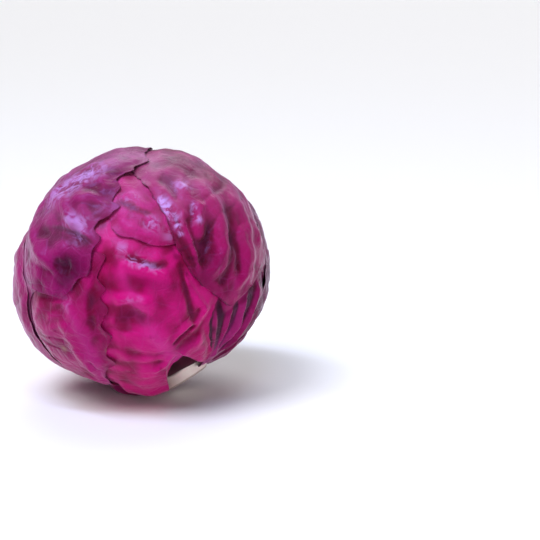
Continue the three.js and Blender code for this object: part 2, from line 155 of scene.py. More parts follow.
leafRight = {
    "node": "leaf_right",
    "middle": (66, 58), "side": 168, "puff": 1.8,
    "edge": [
        (60, 11), (90, 15), (106, 28), (118, 44), (121, 65), (112, 85), (92, 98), (66, 100),
        (42, 96), (22, 88), (15, 74), (14, 60), (17, 46), (22, 34), (29, 24), (31, 15),
    ],
    "folds": [
        (2.6, 2.8, [(32, 64), (29, 47), (33, 26)]),
        (-2, 2.6, [(36.5, 64), (32.5, 47), (34, 28)]),
        (2.4, 2.8, [(41, 63), (37, 48), (36, 26)]),
        (-1.6, 3, [(46, 62), (42, 50), (38, 34)]),
        (2.6, 3.2, [(54, 66), (48, 52), (41, 38), (38, 22)]),
        (-1.8, 3, [(61, 68), (55, 54), (46, 38), (41, 24)]),
        (2.6, 3.6, [(70, 72), (63, 57), (52, 40), (42, 22)]),
        (1.6, 4, [(86, 66), (78, 50), (64, 34), (52, 20)]),
    ],
    "rib": [(34, 18), (40, 40), (54, 66), (68, 98)],
    "ribHeight": 0.2, "rimLift": 0.6,
    "creases": [
        (-2.8, 1.7, [(26.5, 62.5), (25.6, 52), (28.4, 37.5), (31, 26)]),
        (1.6, 1.5, [(29.5, 60.5), (29.5, 49.4), (32, 34), (33, 24)]),
        (-2.4, 1.5, [(33.5, 64), (33, 53.6), (34, 41.5), (35, 28)]),
        (1.6, 1.7, [(39.7, 59), (36.7, 48.4), (37, 34), (36, 24)]),
        (-2.4, 1.7, [(47.3, 60.8), (43.3, 52.8), (39.9, 42.7), (38, 28)]),
        (1.6, 2.0, [(53.8, 63), (50, 55.5), (43, 44), (40, 28)]),
        (-2.2, 1.8, [(59.9, 64.6), (56, 54), (47, 40), (41, 26)]),
        (1.4, 2.2, [(68, 68), (62, 54), (52, 40), (43, 26)]),
    ],
    "shadeAndHighlightSpots": [
        (26, 58, 3, 0.9), (27, 49, 3, 1), (28, 41, 2.6, 0.9), (35.5, 56, 2, 0.7),
        (33, 46, 1.8, 0.7), (52, 34, 9, 0.5), (60, 60, 10, 0.3),
    ],
    "dryPatches": [],
    "deepShadedColour": (0.07, 0.001, 0.014), "bulgeLitColour": (0.29, 0.006, 0.09),
}
leafFront = {
    "node": "leaf_front",
    "middle": (-4, 74), "side": 184, "puff": 1.8,
    "edge": [
        (40, 72), (41, 88), (36, 104), (24, 121), (4, 130), (-18, 127), (-36, 114), (-48, 96),
        (-57, 78), (-66, 62), (-78, 46), (-92, 31), (-98, 14), (-70, 12), (-44, 14), (-20, 25),
        (-12, 33), (-3, 40), (5, 42), (13, 35), (24, 28), (28, 34), (27, 41), (25, 49), (26, 57),
        (32, 63),
    ],
    "folds": [
        (-2.2, 3.4, [(20, 92), (18, 80), (17, 68), (17, 54)]),
        (1.6, 4, [(25, 84), (24, 72), (26, 62)]),
        (-1.4, 2.8, [(0, 47), (10, 52), (18, 56), (25, 59)]),
        (1.4, 4, [(2, 43), (12, 48), (20, 52)]),
        (1.6, 5, [(-10, 97), (0, 94), (12, 88)]),
        (1.8, 5, [(-18, 80), (-8, 80), (4, 73)]),
        (1.2, 6, [(-20, 64), (-8, 62), (4, 60)]),
        (1.4, 6, [(-52, 20), (-34, 36), (-22, 50)]),
    ],
    "rib": [(2, 42), (-4, 60), (-6, 90), (-4, 130)],
    "ribHeight": 0.2, "rimLift": 1.0,
    "creases": [
        (-1.3, 1.6, [(-2.4, 98.3), (2, 95.2), (6.3, 90.7), (10, 89.1), (14.9, 89)]),
        (1.0, 2.6, [(-6, 96.9), (-1.6, 93.6), (4, 88.9), (9.2, 85), (12.3, 83.3)]),
        (1.2, 2.4, [(-15.4, 82.4), (-10.5, 82.4), (-5.4, 81.3), (-2.6, 78.5), (-0.8, 75)]),
        (-1.0, 3.5, [(-16.6, 77.5), (-13.5, 74.4), (-7, 74.2), (-4.6, 69.5)]),
        (0.8, 2.5, [(-19.6, 67.4), (-12.4, 67), (-7.4, 63.5), (-1.8, 62)]),
        (-1.5, 1.4, [(17.8, 88.4), (17.2, 81.2), (16.6, 74), (15.9, 67), (16, 58)]),
        (1.6, 2.2, [(19.6, 83.7), (19.6, 77.4), (21.5, 70), (24, 62.9), (19.9, 59.6)]),
        (-1.2, 1.1, [(0.9, 52.9), (6.6, 55.5), (12.6, 57.9), (18, 57.5)]),
        (1.0, 2.2, [(1.3, 47.5), (-7.8, 44), (-18.6, 43)]),
        (3.0, 9.0, [(-75, 55), (-62, 38), (-50, 24), (-36, 14), (-20, 8)]),
    ],
    "shadeAndHighlightSpots": [
        (-5, 88, 4, 0.35), (0, 86, 4, 0.4), (4, 84, 4, 0.4), (8, 81, 4, 0.35), (12, 79, 3, 0.3),
        (-14.4, 76.5, 5, 0.5), (-14.3, 89.5, 5, 0.5), (18, 94, 1.6, 0.8), (18.4, 90, 2, 0.9),
        (18.6, 86, 1.8, 0.8), (19.6, 81.5, 1.6, 0.7), (8.9, 49.2, 6, 0.5), (18, 76, 4, 0.5),
        (-2, 102.2, 4, -0.35), (0.5, 94.6, 3.2, -0.5), (4.5, 91, 3.2, -0.5), (8, 86.6, 3, -0.45),
        (-11, 81, 2.2, -0.35), (-7, 81.4, 2.2, -0.35), (-3, 80.4, 2, -0.3),
    ],
    "dryPatches": [(-30, 12, 3)],
    "deepShadedColour": (0.21, 0.001, 0.036), "bulgeLitColour": (0.5, 0.003, 0.145),
}
leafLeft = {
    "node": "leaf_left",
    "middle": (-68, 74), "side": 160, "puff": 1.6,
    "edge": [
        (-18, 109), (-34, 116), (-58, 122), (-84, 118), (-105, 106), (-121, 86), (-134, 66),
        (-148, 48), (-162, 30), (-166, 12), (-135, 11), (-108, 14), (-84, 25), (-68, 36),
        (-54, 44), (-46, 51), (-38, 54), (-31, 56), (-32, 61), (-28, 65), (-23, 69), (-25, 75),
        (-21, 78), (-18, 81), (-19, 86), (-15, 89), (-17, 95), (-14, 98), (-10, 102),
    ],
    "folds": [
        (2.4, 4.4, [(-84, 26), (-62, 42), (-50, 54), (-44, 66), (-41, 80), (-42, 98)]),
        (-1.6, 2.8, [(-48, 62), (-54, 52), (-62, 42)]),
        (1.4, 3.6, [(-43, 84), (-58, 84), (-78, 96)]),
        (1.4, 3.6, [(-46, 66), (-64, 68), (-86, 80)]),
        (1.2, 3.4, [(-42, 76), (-32, 78), (-22, 86)]),
    ],
    "rib": [
        (-104, 14), (-84, 26), (-62, 42), (-46, 54), (-38, 65), (-35, 74), (-34, 82), (-36, 91),
        (-41, 100), (-50, 112),
    ],
    "ribHeight": 1.4, "rimLift": 1.2,
    "creases": [
        (-0.9, 2.0, [(-17, 93.9), (-22.5, 88.4), (-26, 81.8), (-29.5, 71.6)]),
        (-1.2, 1.4, [(-41.5, 64.6), (-45, 55), (-54, 46)]),
    ],
    "shadeAndHighlightSpots": [
        (-51.7, 73, 7, 0.6), (-24.6, 89, 6, 0.35), (-84, 87, 10, 0.2), (-35, 90, 5, -0.25),
    ],
    "dryPatches": [(-51.1, 72.1, 1.5), (-29, 63, 1.2)],
    "deepShadedColour": (0.15, 0.001, 0.026), "bulgeLitColour": (0.33, 0.003, 0.1),
}
leafCrownFront = {
    "node": "leaf_crown_front",
    "middle": (105, 108), "side": 150, "puff": 1.6,
    "edge": [
        (-2, 118), (-3, 112), (0, 107), (4, 105), (8, 101), (11, 98), (16, 96), (22, 95), (34, 96),
        (52, 92), (70, 84), (88, 66), (104, 44), (118, 16), (130, 13), (137, 28), (139, 50),
        (141, 80), (146, 105), (156, 128), (180, 146), (-120, 162), (-40, 158), (-16, 146),
        (-12, 132), (-8, 124),
    ],
    "folds": [
        (-1.6, 2.8, [(-2, 126), (4, 123), (12, 114), (18, 108)]),
        (1.8, 3.6, [(-4, 132), (6, 128), (14, 120), (19, 113)]),
        (1.2, 3.4, [(0, 118), (7, 112), (15, 102)]),
        (1.4, 4, [(8, 140), (14, 132), (19, 122)]),
    ],
    "rib": [(112, 16), (106, 60), (80, 104), (30, 120), (0, 126)],
    "ribHeight": 0.3, "rimLift": 1.0,
    "creases": [
        (-1.5, 1.6, [(3.6, 125.4), (8.1, 120), (13, 114.1), (18, 110.8)]),
        (1.2, 2.0, [(7.4, 126.6), (12.3, 122.6), (15.9, 117.4), (19, 113)]),
        (1.1, 2.0, [(2.6, 116.4), (3.7, 109.4), (8.7, 105.3), (14, 101)]),
    ],
    "shadeAndHighlightSpots": [
        (10.6, 121.7, 4, -0.5), (14.7, 107.6, 4.5, -0.45), (19.5, 98.7, 4, -0.3),
    ],
    "dryPatches": [],
    "deepShadedColour": (0.25, 0.001, 0.05), "bulgeLitColour": (0.42, 0.005, 0.145),
}
leafCrownRight = {
    "node": "leaf_crown_right",
    "middle": (100, 106), "side": 180, "puff": 2.2,
    "edge": [
        (22, 112), (22, 105), (21, 99), (20, 95), (20, 90), (21, 84), (23, 78), (26, 72), (32, 66),
        (40, 59), (48, 61), (57, 65), (67, 68), (80, 64), (92, 54), (103, 36), (114, 14),
        (128, 11), (138, 24), (140, 45), (142, 70), (145, 95), (150, 118), (162, 138), (-172, 152),
        (-110, 165), (0, 168), (32, 158), (26, 146), (23, 136), (22, 128), (22, 120),
    ],
    "folds": [
        (2.4, 3.4, [(27, 142), (26, 126), (26, 112), (27, 98)]),
        (-2, 3.4, [(35, 132), (33, 116), (31, 100), (30, 80)]),
        (-1.8, 2.4, [(25, 103), (27, 96), (27, 89), (25, 80)]),
        (2.6, 4.2, [(50, 122), (45, 100), (41, 83), (34, 72)]),
        (-1.8, 3.6, [(54, 108), (49, 90), (44, 70)]),
        (2.4, 4.4, [(64, 110), (60, 92), (55, 78), (48, 65)]),
        (1.8, 5, [(84, 112), (74, 96), (66, 78)]),
        (1.6, 6, [(112, 22), (116, 60), (108, 100), (92, 130)]),
    ],
    "rib": [(118, 14), (112, 60), (100, 100), (70, 138), (0, 160)],
    "ribHeight": 0.6, "rimLift": 0.8,
    "creases": [
        (1.6, 1.7, [(24.6, 124), (24.2, 116), (23.2, 108), (23.2, 101), (24, 95)]),
        (-1.8, 1.5, [(27, 120), (26, 112), (25.4, 106), (25.2, 100)]),
        (2.0, 1.5, [(27.4, 107), (26.8, 102), (26.7, 96), (26.3, 90), (25.6, 83), (24.6, 76)]),
        (-1.8, 1.4, [(23, 100), (22.6, 95), (23, 90), (23, 85), (22.8, 79)]),
        (-1.2, 0.8, [(20, 88.5), (22.6, 87.6), (24.8, 86.4)]),
        (1.4, 2.6, [(41.6, 119), (34.3, 113.3), (30, 107.5), (29.5, 101.8)]),
        (1.6, 2.6, [(41, 108), (35.4, 102.5), (31.5, 98), (30.3, 91)]),
        (-1.4, 2.2, [(38.8, 99), (35, 92.5), (29.5, 86.5), (27, 81)]),
        (1.6, 2.4, [(40.6, 96.6), (39.4, 86.3), (34, 80.1), (28.4, 75.7)]),
        (-1.4, 2.4, [(49.9, 92.8), (42.8, 83), (38, 75.6), (33.5, 69.4)]),
        (1.6, 2.6, [(54.6, 93.4), (51.6, 80.5), (47.6, 70.5), (41.5, 65)]),
    ],
    "shadeAndHighlightSpots": [
        (21, 91.6, 1.2, 0.8), (22.6, 87.3, 1, 0.8), (24.6, 86.4, 1, 0.7), (22, 76, 2, 0.5),
        (27, 76, 6, 0.4), (29, 85, 5, 0.3), (52, 131.6, 9, 0.7), (55, 98, 8, 0.3),
        (34.6, 82.5, 6, 0.4), (37.8, 110.8, 4, 0.4), (24, 114.8, 2.8, -0.9),
        (24.6, 110.5, 2.4, -0.9), (25, 105.9, 2.2, -0.9), (24.6, 101.6, 1.6, -0.7),
        (24, 98, 1.4, -0.6), (38.2, 117.2, 4.5, -0.6), (33.6, 100, 1.8, -0.6),
        (34.6, 104, 2.2, -0.6), (36, 108, 2, -0.6),
    ],
    "dryPatches": [],
    "deepShadedColour": (0.12, 0.001, 0.02), "bulgeLitColour": (0.29, 0.003, 0.082),
}
leafCrownLeft = {
    "node": "leaf_crown_left",
    "middle": (-90, 120), "side": 184, "puff": 1.8,
    "edge": [
        (-100, 15), (-88, 35), (-77, 60), (-70, 84), (-61, 98), (-51, 100), (-43, 96), (-37, 93),
        (-32, 94), (-26, 97), (-20, 98), (-16, 103), (-14, 107), (-9, 110), (-11, 115), (-7, 118),
        (0, 119), (5, 121), (2, 125), (6, 128), (10, 130), (11, 136), (17, 138), (22, 137),
        (26, 140), (40, 141), (49, 148), (77, 152), (115, 151), (155, 147), (-170, 136),
        (-155, 116), (-148, 90), (-146, 60), (-146, 35), (-130, 17),
    ],
    "folds": [
        (-1.4, 3, [(-50, 125), (-36, 122), (-24, 116), (-14, 107)]),
        (1.6, 5, [(-56, 116), (-38, 112), (-26, 108)]),
        (1.8, 6, [(-40, 140), (-22, 134), (-6, 127)]),
        (-1.2, 4, [(-30, 132), (-14, 127), (0, 124)]),
        (1.6, 6, [(-96, 60), (-92, 100), (-80, 134), (-40, 158)]),
        (1.2, 5, [(-88, 112), (-66, 108), (-48, 102)]),
        (1.4, 5, [(-84, 128), (-60, 140), (-20, 146)]),
    ],
    "rib": [(-122, 17), (-114, 60), (-96, 104), (-60, 130), (0, 138)],
    "ribHeight": 0.5, "rimLift": 1.0,
    "creases": [
        (-1.0, 1.4, [(-40, 126), (-26, 120.4), (-19.5, 115.6), (-14.5, 110.5), (-11.4, 106.4)]),
        (1.4, 2.4, [(-26.5, 134.5), (-21.4, 124.6), (-19.5, 117.4)]),
        (1.4, 2.4, [(-12.9, 128.8), (-13.1, 120.9), (-12.5, 114.4)]),
        (-1.6, 3.5, [(-33.5, 109.3), (-30.4, 104.7), (-26.4, 102.5)]),
        (1.0, 2.4, [(-10, 133.5), (-4.5, 128.4), (1.4, 125.5)]),
        (1.2, 3.0, [(-58, 132.5), (-47.3, 121), (-39, 111), (-34.5, 105.4)]),
    ],
    "shadeAndHighlightSpots": [
        (-26.6, 104.5, 7, 0.9), (-1.4, 130.6, 6, 0.5), (-40, 119.5, 6, 0.15), (-33, 99, 6, 0.4),
        (-22, 123.6, 4, -0.4), (-3.6, 147.6, 9, -0.5), (-30, 142, 11, -0.5), (-12, 124.5, 3, 0.3),
        (-31, 128, 5, 0.35), (-8, 112, 4, 0.3), (-14.6, 119.6, 4.5, -0.5), (-20.8, 112, 5, -0.35),
    ],
    "dryPatches": [(-12.4, 101.6, 1.6)],
    "deepShadedColour": (0.11, 0.001, 0.028), "bulgeLitColour": (0.25, 0.003, 0.095),
}
leafOuterRight = {
    "node": "leaf_outer_right",
    "middle": (126, 74), "side": 132, "puff": 2,
    "edge": [
        (124, 11), (158, 15), (176, 30), (180, 50), (-179, 74), (176, 92), (174, 112), (164, 128),
        (150, 139), (136, 136), (120, 138), (104, 128), (92, 118), (89, 104), (83, 92), (84, 78),
        (78, 66), (79, 53), (73, 40), (77, 25), (90, 13),
    ],
    "folds": [
        (3.4, 6, [(124, 14), (125, 40), (126, 74)]),
        (1.8, 4.6, [(126, 70), (127, 95), (128, 124)]),
        (1.6, 4, [(125, 48), (112, 62), (98, 84)]),
        (1.6, 4, [(126, 54), (142, 68), (158, 90)]),
        (1.4, 4, [(126, 82), (114, 96), (104, 114)]),
        (1.4, 4, [(126, 86), (142, 98), (154, 118)]),
    ],
    "rib": [(124, 11), (125, 40), (126, 74), (128, 136)],
    "ribHeight": 1.0, "rimLift": -0.6,
    "creases": [],
    "shadeAndHighlightSpots": [(118, 60, 30, 0.35)],
    "dryPatches": [],
    "deepShadedColour": (0.06, 0.001, 0.012), "bulgeLitColour": (0.17, 0.002, 0.045),
}
leafOuterLeft = {
    "node": "leaf_outer_left",
    "middle": (-120, 78), "side": 132, "puff": 1.8,
    "edge": [
        (-80, 14), (-84, 34), (-80, 48), (-80, 60), (-73, 74), (-69, 90), (-61, 102), (-65, 110),
        (-66, 118), (-72, 130), (-86, 141), (-108, 148), (-124, 144), (-142, 144), (-158, 124),
        (-168, 108), (-168, 92), (-176, 72), (178, 48), (172, 26), (-170, 13), (-125, 11),
    ],
    "folds": [
        (3.4, 6, [(-122, 40), (-121, 58), (-120, 78)]),
        (1.8, 4.6, [(-120, 74), (-119, 100), (-116, 128)]),
        (1.6, 4, [(-121, 52), (-106, 66), (-92, 88)]),
        (1.6, 4, [(-121, 56), (-138, 70), (-152, 90)]),
        (1.4, 4, [(-119, 86), (-104, 100), (-90, 122)]),
        (1.4, 4, [(-119, 90), (-134, 104), (-146, 124)]),
    ],
    "rib": [(-125, 11), (-122, 40), (-120, 78), (-116, 146)],
    "ribHeight": 1.0, "rimLift": -0.6,
    "creases": [], "shadeAndHighlightSpots": [], "dryPatches": [],
    "deepShadedColour": (0.17, 0.001, 0.04), "bulgeLitColour": (0.32, 0.006, 0.12),
}
leaves = [
    leafBack, leafRight, leafFront, leafLeft, leafCrownFront, leafCrownRight, leafCrownLeft,
    leafOuterRight, leafOuterLeft,
]

# How far each leaf reaches is kept for each degree of a turn about its middle. The two smoother
# tables take the furthest of the neighbours, and then the mean of the neighbours, to each side.
edgeTable = {"size": 360, "samples": 1440, "nearNeighbours": 2, "broadNeighbours": 8}


# A place on a closed centripetal Catmull-Rom curve for each share of a turn.
def edgePoint(points, turn):
    count = len(points)
    p = turn * count
    start = np.floor(p).astype(int)
    w = (p - start)[:, None]
    p0, p1, p2, p3 = (points[(start + step) % count] for step in (-1, 0, 1, 2))
    gaps = [np.sqrt(np.linalg.norm(b - a, axis=1, keepdims=True))
            for a, b in ((p0, p1), (p1, p2), (p2, p3))]
    before, here, after = gaps
    t1 = ((p1 - p0) / before - (p2 - p0) / (before + here) + (p2 - p1) / here) * here
    t2 = ((p2 - p1) / here - (p3 - p1) / (here + after) + (p3 - p2) / after) * here
    point = p1 + t1 * w + (-3 * p1 + 3 * p2 - 2 * t1 - t2) * w ** 2
    point = point + (2 * p1 - 2 * p2 + t1 + t2) * w ** 3
    return point / np.linalg.norm(point, axis=1, keepdims=True)


def turnAbout(leaf, d):
    return np.arctan2(d @ leaf["north"], d @ leaf["east"]) / (2 * np.pi) % 1


def neighbours(table, count):
    return np.array([np.roll(table, step) for step in range(-count, count + 1)])


def smoothedReach(reach, count):
    return neighbours(neighbours(reach, count).max(axis=0), count).mean(axis=0)


def prepareLeaf(leaf):
    leaf["axis"] = direction(*leaf["middle"])
    east = np.cross([0, 0, 1], leaf["axis"])
    leaf["east"] = east / np.linalg.norm(east)
    leaf["north"] = np.cross(leaf["axis"], leaf["east"])
    leaf["edgePlaces"] = directions(leaf["edge"])
    rim = edgePoint(leaf["edgePlaces"], np.arange(edgeTable["samples"]) / edgeTable["samples"])
    size = edgeTable["size"]
    slots = (turnAbout(leaf, rim) * size).astype(int) % size
    reach = np.zeros(size)
    np.maximum.at(reach, slots, angleTo(rim, leaf["axis"]))
    for slot in range(2 * size):
        if reach[slot % size] == 0:
            reach[slot % size] = reach[(slot - 1) % size]
    leaf["reach"] = reach
    leaf["nearReach"] = smoothedReach(reach, edgeTable["nearNeighbours"])
    leaf["broadReach"] = smoothedReach(reach, edgeTable["broadNeighbours"])


# How far inside a leaf's edge a direction lies, in millimetres, negative outside.
def depthInside(leaf, d, table="reach"):
    size = edgeTable["size"]
    along = turnAbout(leaf, d) * size - 0.5
    slot = np.floor(along).astype(int)
    before = leaf[table][slot % size]
    after = leaf[table][(slot + 1) % size]
    reach = before + (after - before) * (along - slot)
    return (reach - angleTo(d, leaf["axis"])) * skinRadius


# 1 on a leaf and close round it, falling to 0 further out: how much the leaf above must climb.
def climb(leaf, d, near=False):
    start, length = head["nearClimb" if near else "broadClimb"]
    depth = depthInside(leaf, d, "nearReach" if near else "broadReach")
    return smoothStep((depth + start + length) / length)


# How much of its place the heart gives up for a leaf.
def room(leaf, d):
    width = head["settleWidth"]
    return smoothStep((depthInside(leaf, d, "broadReach") + width) / (2 * width))


# What the leaves lie on. Away from the stem it fills a part of the hollow beside each edge.
def innerRadius(d):
    fadeStart, fadeEnd = head["fillingFade"]
    hollows = sum(climb(leaf, d) - climb(leaf, d, near=True) for leaf in leaves)
    filling = hollows * head["filling"] * smoothStep((d[:, 2] - fadeStart) / (fadeEnd - fadeStart))
    return formRadius(d) + (filling - sum(room(leaf, d) for leaf in leaves)) * head["layerPitch"]


# The flat spot that the outermost leaf rests on.
def flattened(radius, d):
    fromSpot = angleTo(d, underside) * head["restHeight"]
    reach = head["flatSpotRadius"] + head["flatSpotBlend"]
    flatness = smoothStep((reach - fromSpot) / head["flatSpotBlend"])
    downward = np.maximum(d @ underside, head["pressedFrom"])
    return radius + (head["restHeight"] / downward - radius) * flatness


# Keeps what lies low down off the floor, with room for the leaves under it.
def pressed(radius, d, layersBelow):
    downward = d @ underside
    most = head["restHeight"] - layersBelow * head["layerPitch"]
    most = most / np.maximum(downward, head["pressedFrom"])
    return np.where(downward > head["pressedFrom"], np.minimum(radius, most), radius)


# The nearest point of a line of places: how far off, how far along as a share, and which side.
def nearLine(d, places):
    points = directions(places) * skinRadius
    here = d * skinRadius
    nearest = np.full(len(d), np.inf)
    share = np.zeros(len(d))
    side = np.ones(len(d))
    for i in range(len(points) - 1):
        run = points[i + 1] - points[i]
        t = np.clip((here - points[i]) @ run / (run @ run), 0, 1)
        foot = points[i] + t[:, None] * run
        away = np.linalg.norm(here - foot, axis=1)
        closer = away < nearest
        nearest = np.where(closer, away, nearest)
        share = np.where(closer, (i + t) / (len(points) - 1), share)
        across = np.sign(np.einsum("ij,ij->i", np.cross(run, here - foot), d))
        side = np.where(closer, across, side)
    return nearest, share, side


def foldHeight(fold, d, fade):
    height, width, places = fold
    away, share, side = nearLine(d, places)
    ends = smoothStep(share / fade) * smoothStep((1 - share) / fade)
    return height * np.exp(-(away / width) ** 2) * ends


# The same lumps and rim waves as the solids have.
def lumps(d):
    x, y, z = d.T
    return np.sin(9 * x + 4 * z + 1) * np.sin(8 * y - 3 * x) * np.sin(10 * z + 2)


def rimWave(d):
    x, y, z = d.T
    return 0.5 + 0.5 * np.sin(19 * x + 2) * np.sin(21 * z + 13 * y)


# Side veins leave the midrib on a slant towards the tip, bend outwards and thin out on the way.
veins = {
    "spacing": 15.0, "slant": 0.75, "bend": 0.0035, "width": 2.6,
    "stagger": 0.5,                    # how far one side runs ahead, as a share of the spacing
    "across": 0.75,                    # distance across a vein for each one along the midrib
    "wander": [(46, 3.0), (17, 1.2)],  # wavelength, how far
    "thinning": 0.55, "thinningLength": 60, "ribClearance": 6,
    "ribWidth": 5.0, "ribWidthShare": 1.15, "ribTaper": 0.85,
}


# How near a side vein and the midrib are (1 on them), and how far along the midrib a place is.
def veinField(leaf, d, seed):
    away, share, side = nearLine(d, leaf["rib"])
    length = skinRadius * np.linalg.norm(np.diff(directions(leaf["rib"]), axis=0), axis=1).sum()
    along = share * length
    warp = sum(ripple(d, wavelength, seed + i) * far
               for i, (wavelength, far) in enumerate(veins["wander"]))
    phase = along - veins["slant"] * away + veins["bend"] * away ** 2 + warp
    phase = phase / veins["spacing"] + np.where(side > 0, veins["stagger"], 0.0)
    off = np.abs(phase - np.round(phase)) * veins["spacing"] * veins["across"]
    taper = 1 - veins["thinning"] * smoothStep(away / veins["thinningLength"])
    lateral = np.exp(-(off / (veins["width"] * taper)) ** 2)
    lateral = lateral * smoothStep(away / veins["ribClearance"])
    ribWidth = veins["ribWidth"] * (veins["ribWidthShare"] - veins["ribTaper"] * share)
    rib = np.exp(-(away / ribWidth) ** 2)
    return lateral, rib, share


# An inset is how far in from its edge a leaf has a form in full.
relief = {
    "puffInset": 22, "lump": 0.9,
    "foldInset": 7, "foldFade": 0.22,  # a fade is the share of a line's length where it ends
    "hugWidth": 11.0, "hugLeast": 0.2,  # near the edge a leaf hugs what is under it
    "quilt": 0.45, "quiltLevel": 0.35,
    "pucker": 0.32, "puckerLength": 13, "fine": 0.08, "fineLength": 5,
    "fineInset": 10, "crease": 1.35, "creaseFade": 0.2, "ribFade": 0.7,
    "waveWidth": 5.0, "wave": 1.1, "flutter": 0.45, "flutterLength": 9,
    "lowest": -0.4,
    "rimDrop": 1.15, "rimDropWidth": 9.0,
}
# The marks hold 0 to 1 for the materials.
markScale = {"reliefDepth": 4, "foldShare": 0.5, "ribFade": 0.6, "rimWidth": 12}


# The radius of a leaf's outer face, and its marks. Each random field has its own seed.
def leafShape(index, d, seed):
    leaf = leaves[index]
    none = np.zeros(len(d))
    broadly = depthInside(leaf, d, "broadReach")
    depth = depthInside(leaf, d)
    folds = sum(foldHeight(fold, d, relief["foldFade"]) for fold in leaf["folds"])
    creases = sum((foldHeight(crease, d, relief["creaseFade"]) for crease in leaf["creases"]), none)
    puff = smoothStep(broadly / relief["puffInset"])
    body = puff * (leaf["puff"] + relief["lump"] * lumps(d))
    body = body + smoothStep(broadly / relief["foldInset"]) * folds
    hug = relief["hugLeast"] + (1 - relief["hugLeast"]) * smoothStep(depth / relief["hugWidth"])

    bare = np.ones(len(d))
    uncovered = np.ones(len(d))
    for above in leaves[index + 1:]:
        bare = bare * (1 - climb(above, d))
        uncovered = uncovered * (1 - climb(above, d, near=True))

    lateral, rib, share = veinField(leaf, d, seed)
    fine = relief["quilt"] * (relief["quiltLevel"] - lateral)
    fine = fine + relief["pucker"] * ripple(d, relief["puckerLength"], seed + 2)
    fine = fine + relief["fine"] * ripple(d, relief["fineLength"], seed + 3)
    fine = fine + relief["crease"] * creases
    fine = fine + leaf["ribHeight"] * rib * (1 - relief["ribFade"] * share)
    fine = fine * smoothStep(depth / relief["fineInset"])

    flutter = relief["flutter"] * ripple(d, relief["flutterLength"], seed + 4)
    rim = (1 - smoothStep(depth / relief["waveWidth"])) * leaf["rimLift"]
    rim = rim * (relief["wave"] * rimWave(d) + flutter)
    drop = relief["rimDrop"] * (1 - smoothStep(depth / relief["rimDropWidth"]))
    lift = body * bare * hug + (fine + rim) * uncovered
    lift = np.maximum(lift, relief["lowest"] * uncovered) - drop

    under = sum((climb(below, d, near=True) for below in leaves[:index]), none)
    radius = innerRadius(d) + (under + 1) * head["layerPitch"] + lift
    if index == len(leaves) - 1:
        radius = flattened(radius, d)
    radius = pressed(radius, d, sum((climb(above, d) for above in leaves[index + 1:]), none))

    surface = (fine + markScale["foldShare"] * folds * bare) / markScale["reliefDepth"]
    shadeAndHighlightSpots = sum((strength * bumpAt(d, *place) for *place, strength in leaf["shadeAndHighlightSpots"]), none)
    dry = sum((bumpAt(d, *place) for place in leaf["dryPatches"]), none)
    # In the materials, the relief mark sets painted shade in the furrows and painted light on the
    # bulges, the spots mark sets painted shade and painted highlights, and the rim mark a dark edge
    # with painted shadow.
    marks = {
        "rib": rib * (1 - markScale["ribFade"] * share),
        "rim": np.clip(1 - depth / markScale["rimWidth"], 0, 1),
        "relief": np.clip(0.5 + surface, 0, 1),
        "shadeAndHighlight": 0.5 + 0.5 * np.clip(shadeAndHighlightSpots, -1, 1),
        "dry": np.clip(dry, 0, 1),
    }
    return radius, marks


# A blade is a square net from the leaf's middle to its edge, then given its thickness, thinner at
# the rim. Its nicks are (size, wavelength).
blade = {
    "thickness": 0.8, "rimShare": 0.4, "rimWidth": 7.0,
    "nicks": [(0.45, 10), (0.3, 4.5)],
    "smoothAngle": 50,
    "seed": 100, "seedStep": 17,
    "edgeSamples": 3600,
}


def vertexPlaces(mesh):
    flat = np.zeros(len(mesh.vertices) * 3)
    mesh.vertices.foreach_get("co", flat)
    return flat.reshape(-1, 3)


def moveVertices(mesh, points):
    mesh.vertices.foreach_set("co", points.astype(np.float32).ravel())
    mesh.update()


def writeMarks(mesh, marks):
    for name, values in marks.items():
        attribute = mesh.attributes.new(name, "FLOAT", "POINT")
        attribute.data.foreach_set("value", values.astype(np.float32))


# Which way a place on the edge lies from the leaf's middle, never turning back on itself.
def forwardBearing(leaf, turn):
    steps = np.arange(blade["edgeSamples"] + 1) / blade["edgeSamples"]
    bearing = np.unwrap(turnAbout(leaf, edgePoint(leaf["edgePlaces"], steps)) * 2 * np.pi)
    onward = np.maximum.accumulate(bearing)
    back = np.minimum.accumulate(bearing[::-1])[::-1]
    return np.interp(turn, steps, (onward + back) / 2)


# Turns a flat square grid into shares of the way out (0 to 1) and of a turn about the middle.
def squareToDisc(a, b):
    out = np.maximum(np.abs(a), np.abs(b))
    sideways = np.abs(a) >= np.abs(b)
    with np.errstate(divide="ignore", invalid="ignore"):
        eighths = np.where(sideways, b / a, 2 - a / b)
    eighths = np.nan_to_num(eighths)
    halfTurn = np.where(np.where(sideways, a, b) < 0, 4, 0)
    return out, ((eighths + halfTurn + 8) % 8) / 8


# Thickens the blade inwards, by less towards the rim.
def thicken(piece, fromRim):
    rimShare = blade["rimShare"]
    weight = rimShare + (1 - rimShare) * smoothStep(fromRim / blade["rimWidth"])
    weight = np.round(weight, 2)
    body = piece.vertex_groups.new(name="body")
    for level in np.unique(weight):
        body.add(np.nonzero(weight == level)[0].tolist(), float(level), "REPLACE")
    solidify = piece.modifiers.new("thickness", "SOLIDIFY")
    solidify.thickness = blade["thickness"] / 1000
    solidify.offset = -1
    solidify.vertex_group = "body"
    bpy.ops.object.modifier_apply(modifier="thickness")


